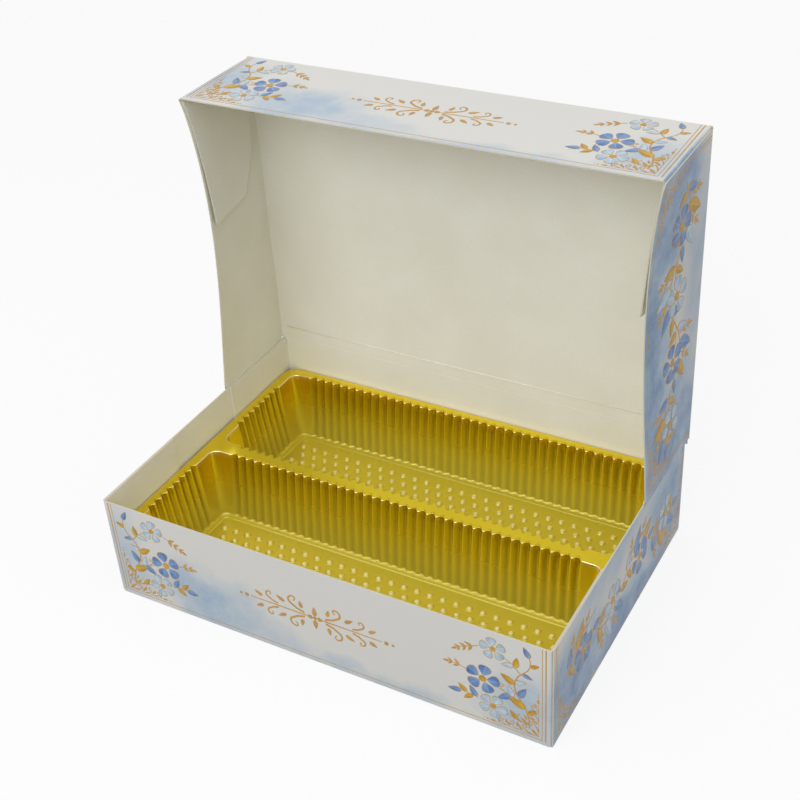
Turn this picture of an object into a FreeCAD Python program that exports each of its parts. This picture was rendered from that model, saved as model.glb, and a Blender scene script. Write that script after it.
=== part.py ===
"""Sweet box: a folded board carton with a full-depth flip lid, and a loose two-well tray.

Millimetres, +Z up. The origin is the centre of the footprint on the table, +X runs to the right
along the long side, and the front faces -Y. The lid stands straight up, hinged on a crease
at the top of the back wall.
"""

import FreeCAD, Part
import math
import os

Vector = FreeCAD.Vector

# Carton: overall sizes of the base, and the board it is folded from
base_width = 240.0
base_depth = 166.0
hinge_height = 60.0
board = 0.6
fold_radius = 0.3
glue_thickness = 0.1
glue_margin = 3.0

# Corner tabs of the base, glued inside its side walls
base_tab_length = 57.0
base_tab_relief = 1.5
base_tab_taper = 4.0

# Hinge: the scored strip on top of the back wall, and the gap round its rounded top
crease_height = 4.0
crease_gap = 0.05

# Lid: how far it stands off the base all round, and how far off the table when it is shut
lid_side_clearance = 0.4
lid_front_clearance = 0.5
lid_seat_gap = 0.3
lid_table_gap = 0.8
lid_side_end_gap = 0.4

# Corner tabs of the lid, glued inside its side panels
lid_tab_length = 66.0
lid_tab_relief = 1.2
lid_tab_slope = 9.0
lid_tab_chamfer = 14.0
lid_tab_chamfer_length = 19.0

# Tray: vacuum-formed sheet
tray_clearance = 0.5
tray_sheet = 0.35
tray_rim_height = 40.0
tray_rim_width = 6.0
tray_ridge_width = 9.0
tray_corner_radius = 8.0
well_corner_radius = 5.0
well_draft = 4.5
well_floor_radius = 4.0

# Overrun of every cutting solid
overrun = 1.0

# Worked out from the sizes above
half_width = base_width / 2
half_depth = base_depth / 2
fold_outer = fold_radius + board
wall_top = hinge_height - board / 2 - lid_seat_gap
tab_face = half_width - board - glue_thickness
hinge_y = half_depth - board / 2
lid_tab_face = half_width + lid_side_clearance + board
lid_side_inner = lid_tab_face + glue_thickness
lid_side_outer = lid_side_inner + board
lid_flange_inner = hinge_height + base_depth - board / 2 + lid_front_clearance
lid_end = lid_flange_inner + board
lid_skirt = hinge_height + board / 2 - lid_table_gap
lid_free_edge = half_depth - lid_skirt
crease_radius = board / 2
lid_start = hinge_height + crease_radius + crease_gap
tray_half_width = tab_face - board - tray_clearance
tray_half_depth = half_depth - board - tray_clearance
rim_underside = tray_rim_height - tray_sheet
well_half_length = tray_half_width - tray_rim_width
well_outer_edge = tray_half_depth - tray_rim_width
well_ridge_edge = tray_ridge_width / 2


def block(x_range, y_range, z_range):
    """A box between two corners."""
    low = Vector(x_range[0], y_range[0], z_range[0])
    return Part.makeBox(x_range[1] - x_range[0], y_range[1] - y_range[0], z_range[1] - z_range[0], low)


def plate(points, direction):
    """A flat panel: a polygon pushed along one direction."""
    corners = [Vector(*point) for point in points]
    return Part.Face(Part.makePolygon(corners + corners[:1])).extrude(Vector(*direction))


def fold(centre, toward_first, toward_second, run):
    """A quarter-round crease about centre, from one panel to the next, pushed along run."""
    centre = Vector(*centre)
    first = Vector(*toward_first)
    second = Vector(*toward_second)
    middle = (first + second) * math.sqrt(1 / 2)
    outer = Part.Arc(*[centre + way * fold_outer for way in (first, middle, second)]).toShape()
    inner = Part.Arc(*[centre + way * fold_radius for way in (second, middle, first)]).toShape()
    across_second = Part.makeLine(centre + second * fold_outer, centre + second * fold_radius)
    across_first = Part.makeLine(centre + first * fold_radius, centre + first * fold_outer)
    return Part.Face(Part.Wire([outer, across_second, inner, across_first])).extrude(Vector(*run))


def rounded_rectangle(x_range, y_range, z, radius):
    """A closed wire: a rectangle with round corners, level at height z."""
    corner_ways = ((1, 1, 0), (-1, 1, 90), (-1, -1, 180), (1, -1, 270))
    arcs = []
    for x_way, y_way, start in corner_ways:
        x = x_range[1] - radius if x_way > 0 else x_range[0] + radius
        y = y_range[1] - radius if y_way > 0 else y_range[0] + radius
        points = []
        for turn in (start, start + 45, start + 90):
            way = Vector(math.cos(math.radians(turn)), math.sin(math.radians(turn)), 0)
            points.append(Vector(x, y, z) + way * radius)
        arcs.append(points)
    edges = []
    for index, points in enumerate(arcs):
        edges.append(Part.Arc(*points).toShape())
        edges.append(Part.makeLine(points[2], arcs[(index + 1) % len(arcs)][0]))
    return Part.Wire(edges)


def both_sides(name, right_shape):
    """The right-hand piece and its mirror image on the left."""
    left_shape = right_shape.mirror(Vector(0, 0, 0), Vector(1, 0, 0))
    return {name.format("left"): left_shape, name.format("right"): right_shape}


def base_panels():
    """Floor, four walls and the four creases between them."""
    floor_x = half_width - fold_outer
    floor_y = half_depth - fold_outer
    panel_x = tab_face - fold_outer
    side_y = (-floor_y, floor_y)
    wall_z = (fold_outer, wall_top)
    pieces = {"base_floor": block((-floor_x, floor_x), (-floor_y, floor_y), (0, board))}
    front_y = (-half_depth, -half_depth + board)
    pieces["base_front_wall"] = block((-panel_x, panel_x), front_y, wall_z)
    back_z = (fold_outer, hinge_height - crease_height)
    pieces["base_back_wall"] = block((-panel_x, panel_x), (half_depth - board, half_depth), back_z)
    right_wall = block((half_width - board, half_width), side_y, wall_z)
    pieces.update(both_sides("base_{}_wall", right_wall))
    along_front = (2 * panel_x, 0, 0)
    front_centre = (-panel_x, -floor_y, fold_outer)
    back_centre = (-panel_x, floor_y, fold_outer)
    pieces["base_front_fold"] = fold(front_centre, (0, -1, 0), (0, 0, -1), along_front)
    pieces["base_back_fold"] = fold(back_centre, (0, 1, 0), (0, 0, -1), along_front)
    right_centre = (floor_x, -floor_y, fold_outer)
    right_fold = fold(right_centre, (1, 0, 0), (0, 0, -1), (0, 2 * floor_y, 0))
    pieces.update(both_sides("base_{}_fold", right_fold))
    return pieces


def base_tab(way, top):
    """The right-hand glue tab of the front (way -1) or back (way 1) wall, with its bend."""
    bend_y = way * (half_depth - fold_outer)
    end_y = way * (half_depth - base_tab_length)
    low = fold_outer + base_tab_relief
    outline = [(tab_face, bend_y, low), (tab_face, end_y, low + base_tab_taper),
               (tab_face, end_y, wall_top), (tab_face, bend_y, wall_top)]
    flat = plate(outline, (-board, 0, 0))
    bend_centre = (tab_face - fold_outer, bend_y, fold_outer)
    bend = fold(bend_centre, (1, 0, 0), (0, way, 0), (0, 0, top - fold_outer))
    return flat.fuse(bend).removeSplitter()


def base_glue(way):
    """The glue line between a base tab and the side wall."""
    near_y = way * (half_depth - fold_outer - glue_margin)
    end_y = way * (half_depth - base_tab_length + glue_margin)
    low = fold_outer + base_tab_relief + base_tab_taper + glue_margin
    y_range = (min(near_y, end_y), max(near_y, end_y))
    return block((tab_face, tab_face + glue_thickness), y_range, (low, wall_top - glue_margin))


def base_corners():
    """Four tabs and four glue lines."""
    pieces = {}
    back_top = hinge_height - crease_height
    for place, way, top in (("front", -1, wall_top), ("back", 1, back_top)):
        pieces.update(both_sides("base_tab_" + place + "_{}", base_tab(way, top)))
        pieces.update(both_sides("base_glue_" + place + "_{}", base_glue(way)))
    return pieces


def hinge_crease():
    """The scored strip on top of the back wall: its rounded top is centred on the lid's axis."""
    half_length = tab_face - fold_outer
    foot = hinge_height - crease_height
    strip_y = (half_depth - board, half_depth)
    strip = block((-half_length, half_length), strip_y, (foot, hinge_height))
    axis_start = Vector(-half_length, hinge_y, hinge_height)
    bead = Part.makeCylinder(crease_radius, 2 * half_length, axis_start, Vector(1, 0, 0))
    return {"hinge_crease": strip.fuse(bead).removeSplitter()}


def lid_panels():
    """Top panel, front flange, two sides and the three creases between them, with the lid upright."""
    panel_x = lid_side_outer - fold_outer
    flange_x = lid_tab_face - fold_outer
    bend_y = half_depth - fold_outer
    bend_z = lid_end - fold_outer
    panel_y = (half_depth - board, half_depth)
    pieces = {"lid_top_panel": block((-panel_x, panel_x), panel_y, (lid_start, bend_z))}
    flange_z = (lid_flange_inner, lid_end)
    pieces["lid_front_flange"] = block((-flange_x, flange_x), (lid_free_edge, bend_y), flange_z)
    side_z = (hinge_height + lid_side_end_gap, bend_z)
    right_side = block((lid_side_inner, lid_side_outer), (lid_free_edge, bend_y), side_z)
    pieces.update(both_sides("lid_{}_side", right_side))
    front_fold = fold((-flange_x, bend_y, bend_z), (0, 1, 0), (0, 0, 1), (2 * flange_x, 0, 0))
    pieces["lid_front_fold"] = front_fold
    right_fold_run = (0, 0, side_z[1] - side_z[0])
    right_fold = fold((panel_x, bend_y, side_z[0]), (1, 0, 0), (0, 1, 0), right_fold_run)
    pieces.update(both_sides("lid_{}_fold", right_fold))
    return pieces


def lid_tab_outline(x, inset):
    """The right-hand lid tab at one x, drawn in by inset all round."""
    near_top = half_depth - fold_outer - lid_tab_relief - inset
    root_z = lid_end - fold_outer - inset
    end_z = lid_end - lid_tab_length + inset
    free_y = lid_free_edge + lid_tab_relief + inset
    slope_y = near_top - lid_tab_slope
    return [(x, near_top, root_z), (x, slope_y, end_z + lid_tab_chamfer_length),
            (x, slope_y - lid_tab_chamfer, end_z), (x, free_y, end_z), (x, free_y, root_z)]


def lid_corners():
    """Two tabs bent off the flange, and the glue lines that hold them to the sides."""
    flat = plate(lid_tab_outline(lid_tab_face, 0), (-board, 0, 0))
    bend_start = lid_free_edge + lid_tab_relief
    bend_run = half_depth - fold_outer - lid_tab_relief - bend_start
    bend_centre = (lid_tab_face - fold_outer, bend_start, lid_end - fold_outer)
    bend = fold(bend_centre, (1, 0, 0), (0, 0, 1), (0, bend_run, 0))
    pieces = both_sides("lid_tab_{}", flat.fuse(bend).removeSplitter())
    glue = plate(lid_tab_outline(lid_tab_face, glue_margin), (glue_thickness, 0, 0))
    pieces.update(both_sides("lid_glue_{}", glue))
    return pieces


def well_solid(y_range, inset, top, bottom):
    """The drafted tub of one well, drawn in by inset, from its mouth down to its floor."""
    mouth_x = well_half_length - inset
    mouth_y = (y_range[0] + inset, y_range[1] - inset)
    mouth = rounded_rectangle((-mouth_x, mouth_x), mouth_y, top, well_corner_radius - inset)
    floor_x = mouth_x - well_draft
    floor_y = (mouth_y[0] + well_draft, mouth_y[1] - well_draft)
    floor = rounded_rectangle((-floor_x, floor_x), floor_y, bottom, well_floor_radius - inset)
    return Part.makeLoft([mouth, floor], True, True)


def tray():
    """Rim with its dividing ridge, and two open wells that hang under it."""
    y_ranges = {"front": (-well_outer_edge, -well_ridge_edge), "back": (well_ridge_edge, well_outer_edge)}
    rim_x = (-tray_half_width, tray_half_width)
    rim_y = (-tray_half_depth, tray_half_depth)
    rim_outline = rounded_rectangle(rim_x, rim_y, rim_underside, tray_corner_radius)
    rim = Part.Face(rim_outline).extrude(Vector(0, 0, tray_sheet))
    pieces = {}
    for place, y_range in y_ranges.items():
        window_x = well_half_length - tray_sheet
        window_y = (y_range[0] + tray_sheet, y_range[1] - tray_sheet)
        window_radius = well_corner_radius - tray_sheet
        window_z = rim_underside - overrun
        window = rounded_rectangle((-window_x, window_x), window_y, window_z, window_radius)
        rim = rim.cut(Part.Face(window).extrude(Vector(0, 0, tray_sheet + 2 * overrun)))
        outside = well_solid(y_range, 0, rim_underside, board)
        inside = well_solid(y_range, tray_sheet, rim_underside, board + tray_sheet)
        pieces["tray_" + place + "_well"] = outside.cut(inside)
    pieces["tray_rim"] = rim
    return pieces


def main():
    os.makedirs("parts", exist_ok=True)
    pieces = {}
    for group in (base_panels(), base_corners(), hinge_crease(), lid_panels(), lid_corners(), tray()):
        pieces.update(group)
    for name, shape in pieces.items():
        shape.exportStep("parts/" + name + ".step")
        print(name, "valid" if shape.isValid() else "INVALID", len(shape.Solids), round(shape.Volume, 1))
    print("pieces", len(pieces))


main()
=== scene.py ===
"""Looks of a folded board sweet box with a flip lid and a gold two-well tray, built round its frame."""

import functools
import math

import bmesh
import bpy
from mathutils import Matrix, Quaternion, Vector


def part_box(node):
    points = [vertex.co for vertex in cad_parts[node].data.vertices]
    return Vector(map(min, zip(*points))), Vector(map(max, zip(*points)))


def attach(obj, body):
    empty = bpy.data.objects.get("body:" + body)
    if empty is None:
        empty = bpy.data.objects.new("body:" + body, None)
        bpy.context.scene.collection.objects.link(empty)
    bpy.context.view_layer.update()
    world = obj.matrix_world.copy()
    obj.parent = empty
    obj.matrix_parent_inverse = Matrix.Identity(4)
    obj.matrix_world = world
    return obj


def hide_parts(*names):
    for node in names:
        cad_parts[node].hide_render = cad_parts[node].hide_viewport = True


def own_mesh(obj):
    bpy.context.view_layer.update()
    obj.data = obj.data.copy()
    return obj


bl_info = {
    "name": "Sweet box",
    "version": (1, 0, 0),
    "blender": (4, 5, 0),
    "location": "View3D > Sidebar > Sweet box",
    "description": "Dresses a folded board sweet box: printed board, bowed lid sides and a gold tray",
    "category": "Object",
}

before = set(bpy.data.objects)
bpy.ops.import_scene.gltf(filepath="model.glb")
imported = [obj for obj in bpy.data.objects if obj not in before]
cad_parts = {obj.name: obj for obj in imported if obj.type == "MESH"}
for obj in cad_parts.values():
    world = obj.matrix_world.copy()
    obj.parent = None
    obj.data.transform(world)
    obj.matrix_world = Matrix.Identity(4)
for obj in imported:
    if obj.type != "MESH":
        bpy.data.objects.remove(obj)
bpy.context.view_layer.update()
MM = 0.001


# Colours, nodes and pieces

def linear(hex_colour):
    """An sRGB hex colour as linear red, green and blue."""
    values = [int(hex_colour[place:place + 2], 16) / 255 for place in (1, 3, 5)]
    return [value / 12.92 if value <= 0.04045 else ((value + 0.055) / 1.055) ** 2.4 for value in values]


def rgba(colour):
    """A hex or linear colour with its alpha, as the shader sockets want it."""
    return (*(linear(colour) if isinstance(colour, str) else colour), 1.0)


def add_node(tree, kind, inputs=None, **settings):
    """Adds one node; an input is a value, a socket, or a node that feeds it by its first open output."""
    node = tree.nodes.new("ShaderNode" + kind)
    for key, value in settings.items():
        setattr(node, key, value)
    for key, value in (inputs or {}).items():
        if isinstance(value, bpy.types.Node):
            value = next(socket for socket in value.outputs if socket.enabled)
        if isinstance(value, bpy.types.NodeSocket):
            tree.links.new(value, node.inputs[key])
        else:
            node.inputs[key].default_value = value
    return node


def node_adder(owner):
    """Empties the node tree of a material or a world, and gives back the function that adds its nodes."""
    owner.use_nodes = True
    owner.node_tree.nodes.clear()
    return functools.partial(add_node, owner.node_tree)


def new_material(name):
    """A material, the function that adds its nodes, and its texture coordinates."""
    material = bpy.data.materials.new(name)
    add = node_adder(material)
    return material, add, add("TexCoord").outputs


def to_mesh(bm, name):
    """Turns a bmesh into a mesh."""
    mesh = bpy.data.meshes.new(name)
    bm.to_mesh(mesh)
    bm.free()
    return mesh


def add_object(name, data):
    """Adds an object to the scene."""
    holder = bpy.data.objects.new(name, data)
    bpy.context.scene.collection.objects.link(holder)
    return holder


def make_piece(bm, name, body, slot, materials, smooth=True):
    """Turns a bmesh into a piece that rides on a body."""
    for face in bm.faces:
        face.smooth = smooth
    for edge in bm.edges:
        edge.smooth = not edge.is_boundary
    piece = add_object(name, to_mesh(bm, name))
    for material in materials:
        piece.data.materials.append(material)
    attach(piece, body)
    return piece


def thicken(piece, thickness, offset, inner=0, rim=0):
    """Gives a sheet its thickness and keeps it live, so a flattened sheet keeps it too."""
    modifier = piece.modifiers.new("Sheet thickness", "SOLIDIFY")
    modifier.thickness = thickness
    modifier.offset = offset
    modifier.use_even_offset = True
    modifier.material_offset = inner
    modifier.material_offset_rim = rim


def face_up(bm):
    """Turns an open sheet's faces so that its flat parts look up."""
    bmesh.ops.recalc_face_normals(bm, faces=bm.faces[:])
    if sum(face.normal.z * face.calc_area() for face in bm.faces) < 0:
        bmesh.ops.reverse_faces(bm, faces=bm.faces[:])


def add_bmesh(bm, extra):
    """Adds a bmesh to another one and frees it."""
    mesh = to_mesh(extra, "scratch")
    bm.from_mesh(mesh)
    bpy.data.meshes.remove(mesh)


# Sizes that follow the frame

FLOOR_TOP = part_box("base_floor")[1].z
LID_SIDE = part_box("lid_right_side")
LID_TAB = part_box("lid_tab_right")
LID_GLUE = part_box("lid_glue_right")
LID_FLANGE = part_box("lid_front_flange")
LID_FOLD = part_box("lid_front_fold")
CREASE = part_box("hinge_crease")
TRAY_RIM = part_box("tray_rim")
BACK_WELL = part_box("tray_back_well")
BOARD = LID_SIDE[1].x - LID_SIDE[0].x
BASE_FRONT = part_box("base_front_wall")
BASE_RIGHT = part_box("base_right_wall")
BASE_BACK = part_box("base_back_wall")
LID_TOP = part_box("lid_top_panel")


class CartonSettings(bpy.types.PropertyGroup):
    """Colours of the board and the bow of the lid's sides."""
    print_white: bpy.props.FloatVectorProperty(
        name="Printed white", description="Coated white of the printed side",
        subtype="COLOR", default=linear("#e0dfda"))
    wash_blue: bpy.props.FloatVectorProperty(
        name="Wash blue", description="Pale blue watercolour wash on the printed side",
        subtype="COLOR", default=linear("#a3bbd1"))
    deep_blue: bpy.props.FloatVectorProperty(
        name="Deep blue", description="Watercolour where it is laid twice, on the sides",
        subtype="COLOR", default=linear("#6488b4"))
    inner_ivory: bpy.props.FloatVectorProperty(
        name="Inner ivory", description="Uncoated inner side of the board",
        subtype="COLOR", default=linear("#f0f0e8"))
    edge_cream: bpy.props.FloatVectorProperty(
        name="Cut edge", description="Raw cut edge of the board",
        subtype="COLOR", default=linear("#d9d3c0"))
    bow_left: bpy.props.FloatProperty(
        name="Left bow", description="How far the open lid's left side bows in",
        default=8.5 * MM, unit="LENGTH")
    bow_right: bpy.props.FloatProperty(
        name="Right bow", description="How far the open lid's right side bows in",
        default=5.5 * MM, unit="LENGTH")


class TraySettings(bpy.types.PropertyGroup):
    """Sizes and colour of the vacuum-formed tray."""
    gold: bpy.props.FloatVectorProperty(
        name="Gold", description="Metallised gold of the tray sheet",
        subtype="COLOR", default=linear("#fbe024"))
    hazy_gold: bpy.props.FloatVectorProperty(
        name="Hazy gold", description="Gold where the sheet is drawn thin, low in the wells",
        subtype="COLOR", default=linear("#d6c749"))
    flute_pitch: bpy.props.FloatProperty(
        name="Flute pitch", description="Distance from flute to flute", default=5.16 * MM, unit="LENGTH")
    flute_depth: bpy.props.FloatProperty(
        name="Flute depth", description="Depth of each flute in the wall", default=1.4 * MM, unit="LENGTH")
    flutes_long: bpy.props.IntProperty(
        name="Flutes along", description="Flutes on each long wall", default=39)
    flutes_short: bpy.props.IntProperty(
        name="Flutes across", description="Flutes on each end wall", default=8)
    lip_radius: bpy.props.FloatProperty(
        name="Lip radius", description="Rounding of the well's mouth", default=0.45 * MM, unit="LENGTH")
    bump_pitch: bpy.props.FloatProperty(
        name="Bump pitch", description="Distance between bumps in a row", default=7.3 * MM, unit="LENGTH")
    row_pitch: bpy.props.FloatProperty(
        name="Row pitch", description="Distance between rows of bumps", default=6.3 * MM, unit="LENGTH")
    bump_radius: bpy.props.FloatProperty(
        name="Bump radius", description="Radius of a floor bump", default=2.0 * MM, unit="LENGTH")
    bump_height: bpy.props.FloatProperty(
        name="Bump height", description="Height of a floor bump", default=1.25 * MM, unit="LENGTH")


class StageSettings(bpy.types.PropertyGroup):
    """Camera and lamps."""
    azimuth: bpy.props.FloatProperty(
        name="Azimuth", description="Camera's turn round the box",
        default=math.radians(31.06), subtype="ANGLE")
    elevation: bpy.props.FloatProperty(
        name="Elevation", description="Camera's angle above the table",
        default=math.radians(34.49), subtype="ANGLE")
    roll: bpy.props.FloatProperty(
        name="Roll", description="Camera's tilt about its own axis",
        default=math.radians(-3.97), subtype="ANGLE")
    distance: bpy.props.FloatProperty(
        name="Distance", description="Camera to its target", default=0.647, unit="LENGTH")
    lens: bpy.props.FloatProperty(
        name="Lens", description="Focal length in millimetres", default=61.0)
    target: bpy.props.FloatVectorProperty(
        name="Target", description="Point that the camera looks at",
        default=(0.0043, 0.0, 0.102), subtype="TRANSLATION")
    key_power: bpy.props.FloatProperty(
        name="Key lamp", description="Power of the large soft lamp at the front left",
        default=8.2, unit="POWER")
    top_power: bpy.props.FloatProperty(
        name="Top lamp", description="Power of the soft lamp overhead", default=1.4, unit="POWER")
    sky: bpy.props.FloatProperty(
        name="Sky", description="Strength of the even light from all round", default=0.65)


# Panels of the carton: centre, right and up of the print as it reads from outside, and half sizes

def panel_frame(centre, right, up, half_width, half_height):
    """Where a panel's print lies: columns are right, up and outward."""
    right = Vector(right)
    up = Vector(up)
    rows = Matrix((right, up, right.cross(up))).transposed().to_4x4()
    return {"place": Matrix.Translation(centre) @ rows, "half": (half_width, half_height)}


WALL_HALF = BASE_FRONT[1].z / 2
BASE_X = BASE_RIGHT[1].x
BASE_Y = BASE_BACK[1].y
LID_X = LID_SIDE[1].x
_, LID_Y, LID_Z = (LID_SIDE[1] + LID_SIDE[0]) / 2
_, SKIRT_HALF, LID_HALF = (LID_SIDE[1] - LID_SIDE[0]) / 2
PANELS = {
    "base_front": panel_frame((0, BASE_FRONT[0].y, WALL_HALF), (1, 0, 0), (0, 0, 1), BASE_X, WALL_HALF),
    "base_back": panel_frame((0, BASE_Y, WALL_HALF), (-1, 0, 0), (0, 0, 1), BASE_X, WALL_HALF),
    "base_right": panel_frame((BASE_X, 0, WALL_HALF), (0, 1, 0), (0, 0, 1), BASE_Y, WALL_HALF),
    "base_left": panel_frame((-BASE_X, 0, WALL_HALF), (0, -1, 0), (0, 0, 1), BASE_Y, WALL_HALF),
    "lid_front": panel_frame((0, LID_Y, LID_FLANGE[1].z), (1, 0, 0), (0, 1, 0), LID_X, SKIRT_HALF),
    "lid_top": panel_frame((0, LID_TOP[1].y, LID_Z), (1, 0, 0), (0, 0, -1), LID_X, LID_HALF),
    "lid_right": panel_frame((LID_X, LID_Y, LID_Z), (0, 0, -1), (0, 1, 0), LID_HALF, SKIRT_HALF),
    "lid_left": panel_frame((-LID_X, LID_Y, LID_Z), (0, 0, 1), (0, 1, 0), LID_HALF, SKIRT_HALF),
}

# Watercolour clouds: place and reach as shares of the panel's half sizes, and strength
FRONT_CLOUDS = ((-0.52, -0.55, 0.36, 0.95, 0.9), (-0.2, -0.8, 0.34, 0.55, 0.5),
                (-0.95, -0.1, 0.2, 1.3, 0.75), (0.9, -0.35, 0.24, 1.0, 0.75), (0.3, -1.15, 0.8, 0.5, 0.6))
SIDE_CLOUDS = ((-0.8, -0.4, 0.75, 1.5, 1.6), (0.8, 0.1, 0.7, 1.9, 1.6),
               (0.1, -0.9, 1.1, 1.0, 1.6), (-0.15, 0.9, 0.85, 0.9, 0.8))
TOP_CLOUDS = ((-0.9, -0.5, 0.5, 0.5, 0.9), (-0.45, -0.7, 0.4, 0.3, 0.4),
              (-0.85, 0.75, 0.4, 0.35, 0.7), (0.85, -0.75, 0.4, 0.4, 0.8), (0.95, 0.7, 0.25, 0.4, 0.8))
CLOUDS = {"front": FRONT_CLOUDS, "back": FRONT_CLOUDS, "right": SIDE_CLOUDS, "left": SIDE_CLOUDS,
          "top": TOP_CLOUDS}

# Which board nodes belong to which panel, and the way their printed side faces
BOARD_NODES = {
    "base_front": {"base_front_wall": (0, -1, 0), "base_front_fold": (0, -1, -1),
                   "base_tab_front_left": (-1, -1, 0), "base_tab_front_right": (1, -1, 0)},
    "base_back": {"base_back_wall": (0, 1, 0), "base_back_fold": (0, 1, -1), "hinge_crease": (0, 1, 0),
                  "base_tab_back_left": (-1, 1, 0), "base_tab_back_right": (1, 1, 0)},
    "base_left": {"base_left_wall": (-1, 0, 0), "base_left_fold": (-1, 0, -1)},
    "base_right": {"base_right_wall": (1, 0, 0), "base_right_fold": (1, 0, -1)},
    "lid_front": {"lid_front_flange": (0, 0, 1), "lid_front_fold": (0, 1, 1)},
    "lid_top": {"lid_top_panel": (0, 1, 0), "lid_left_fold": (-1, 1, 0), "lid_right_fold": (1, 1, 0)},
}


# Materials

TOOTH_STRENGTH = 0.35


def paint_wash(add, position, panel):
    """Strength of the watercolour wash at each point of a panel: soft clouds with pooled edges."""
    place = PANELS[panel]["place"]
    half_width, half_height = PANELS[panel]["half"]
    # The wash wanders by about 16 mm, in blots about 25 mm wide
    wander = add("TexNoise", {"Vector": position, "Scale": 1 / (25 * MM), "Detail": 4.0})
    shift = add("VectorMath", {0: wander.outputs["Color"], 1: (0.5, 0.5, 0.5)}, operation="SUBTRACT")
    pushed = add("VectorMath", {0: shift, 1: (32 * MM,) * 3, 2: position}, operation="MULTIPLY_ADD")
    local = add("VectorMath", {0: pushed, 1: place.translation}, operation="SUBTRACT")
    right, up = [add("VectorMath", {0: local, 1: place.col[column].to_3d()}, operation="DOT_PRODUCT")
                 for column in (0, 1)]
    flat = add("CombineXYZ", {"X": right, "Y": up})
    wash = 0.0
    for x_share, y_share, x_reach, y_reach, strength in CLOUDS[panel.split("_")[1]]:
        middle = (x_share * half_width, y_share * half_height, 0)
        shrink = (1 / (x_reach * half_width), 1 / (y_reach * half_height), 1)
        from_middle = add("VectorMath", {0: flat, 1: middle}, operation="SUBTRACT")
        scaled = add("VectorMath", {0: from_middle, 1: shrink}, operation="MULTIPLY")
        reach = add("VectorMath", {0: scaled}, operation="LENGTH")
        cloud = add("MapRange", {"Value": reach, "From Min": 1.0, "From Max": 0.25, "To Max": strength},
                    interpolation_type="SMOOTHSTEP")
        wash = add("Math", {0: wash, 1: cloud}, operation="MAXIMUM")
    # Pigment settles in the paper's tooth, in grains about 2 mm wide, and pools in blots about 14 mm wide
    for width, detail, low, high, thin, thick in ((2 * MM, 3.0, 0.3, 0.7, 0.9, 1.06),
                                                  (14 * MM, 6.0, 0.35, 0.68, 0.62, 1.12)):
        noise = add("TexNoise", {"Vector": position, "Scale": 1 / width, "Detail": detail})
        settled = add("MapRange", {"Value": noise, "From Min": low, "From Max": high,
                                   "To Min": thin, "To Max": thick})
        wash = add("Math", {0: wash, 1: settled}, operation="MULTIPLY")
    return wash


def printed_colour(add, position, panel):
    """Colour of the printed side: coated white under a blue wash."""
    carton = bpy.context.scene.sweet_box_carton
    wash = paint_wash(add, position, panel)
    once = add("Mix", {"Factor": wash, "A": rgba(carton.print_white), "B": rgba(carton.wash_blue)},
               data_type="RGBA")
    deep = add("MapRange", {"Value": wash, "From Min": 0.9, "From Max": 1.8})
    return add("Mix", {"Factor": deep, "A": once, "B": rgba(carton.deep_blue)}, data_type="RGBA")


def ivory_colour(add, position):
    """Colour of the uncoated side: ivory with soft clouding and fine fibre specks; also gives the fibres."""
    ivory = bpy.context.scene.sweet_box_carton.inner_ivory
    darker = [value * share for value, share in zip(ivory, (0.93, 0.92, 0.88))]
    # Pulp lies a little unevenly, in clouds about 30 mm wide
    clouding = add("TexNoise", {"Vector": position, "Scale": 1 / (30 * MM), "Detail": 3.0})
    # Fibres are about 0.1 mm wide; they are drawn 0.8 mm wide so that they show
    fibres = add("TexNoise", {"Vector": position, "Scale": 1 / (0.8 * MM), "Detail": 4.0})
    both = add("Math", {0: clouding, 1: fibres}, operation="MULTIPLY")
    share = add("MapRange", {"Value": both, "From Min": 0.12, "From Max": 0.42})
    mix = add("Mix", {"Factor": share, "A": rgba(darker), "B": rgba(ivory)}, data_type="RGBA")
    return mix, fibres


def finish(add, colour, roughness, height, depth, metallic=0.0):
    """The shader of board, glue and ink, with a faint tooth; a pair of roughnesses follows the tooth."""
    if isinstance(roughness, tuple):
        smooth, rough = roughness
        roughness = add("MapRange", {"Value": height, "To Min": smooth, "To Max": rough})
    inputs = {"Base Color": colour, "Roughness": roughness, "Metallic": metallic}
    if depth:
        inputs["Normal"] = add("Bump", {"Height": height, "Strength": TOOTH_STRENGTH, "Distance": depth})
    add("OutputMaterial", {"Surface": add("BsdfPrincipled", inputs)})


def patchy(name, patch, detail, dark, light, roughness, depth, metallic=0.0):
    """A material in patches of a dark and a light shade."""
    material, add, coordinates = new_material(name)
    patches = add("TexNoise", {"Vector": coordinates["Object"], "Scale": 1 / patch, "Detail": detail})
    colour = add("Mix", {"Factor": patches, "A": rgba(dark), "B": rgba(light)}, data_type="RGBA")
    finish(add, colour, roughness, patches, depth, metallic)
    return material


def folded_board(name, panel, outward):
    """Folding boxboard: varnished print outside, uncoated ivory inside and a raw cream cut edge."""
    carton = bpy.context.scene.sweet_box_carton
    material, add, coordinates = new_material("folded boxboard " + name)
    position = coordinates["Object"]
    facing = add("VectorMath", {0: coordinates["Normal"], 1: Vector(outward).normalized()},
                 operation="DOT_PRODUCT")
    outside = add("Math", {0: facing, 1: 0.5}, operation="GREATER_THAN")
    inside = add("Math", {0: facing, 1: -0.5}, operation="LESS_THAN")
    ivory, fibres = ivory_colour(add, position)
    printed = printed_colour(add, position, panel) if panel else rgba(carton.print_white)
    edge_or_print = add("Mix", {"Factor": outside, "A": rgba(carton.edge_cream), "B": printed},
                        data_type="RGBA")
    colour = add("Mix", {"Factor": inside, "A": edge_or_print, "B": ivory}, data_type="RGBA")
    # Satin varnish outside, bare fibre elsewhere
    roughness = add("MapRange", {"Value": outside, "To Min": 0.82, "To Max": 0.42})
    finish(add, colour, roughness, fibres, 0.03 * MM)
    return material


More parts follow.
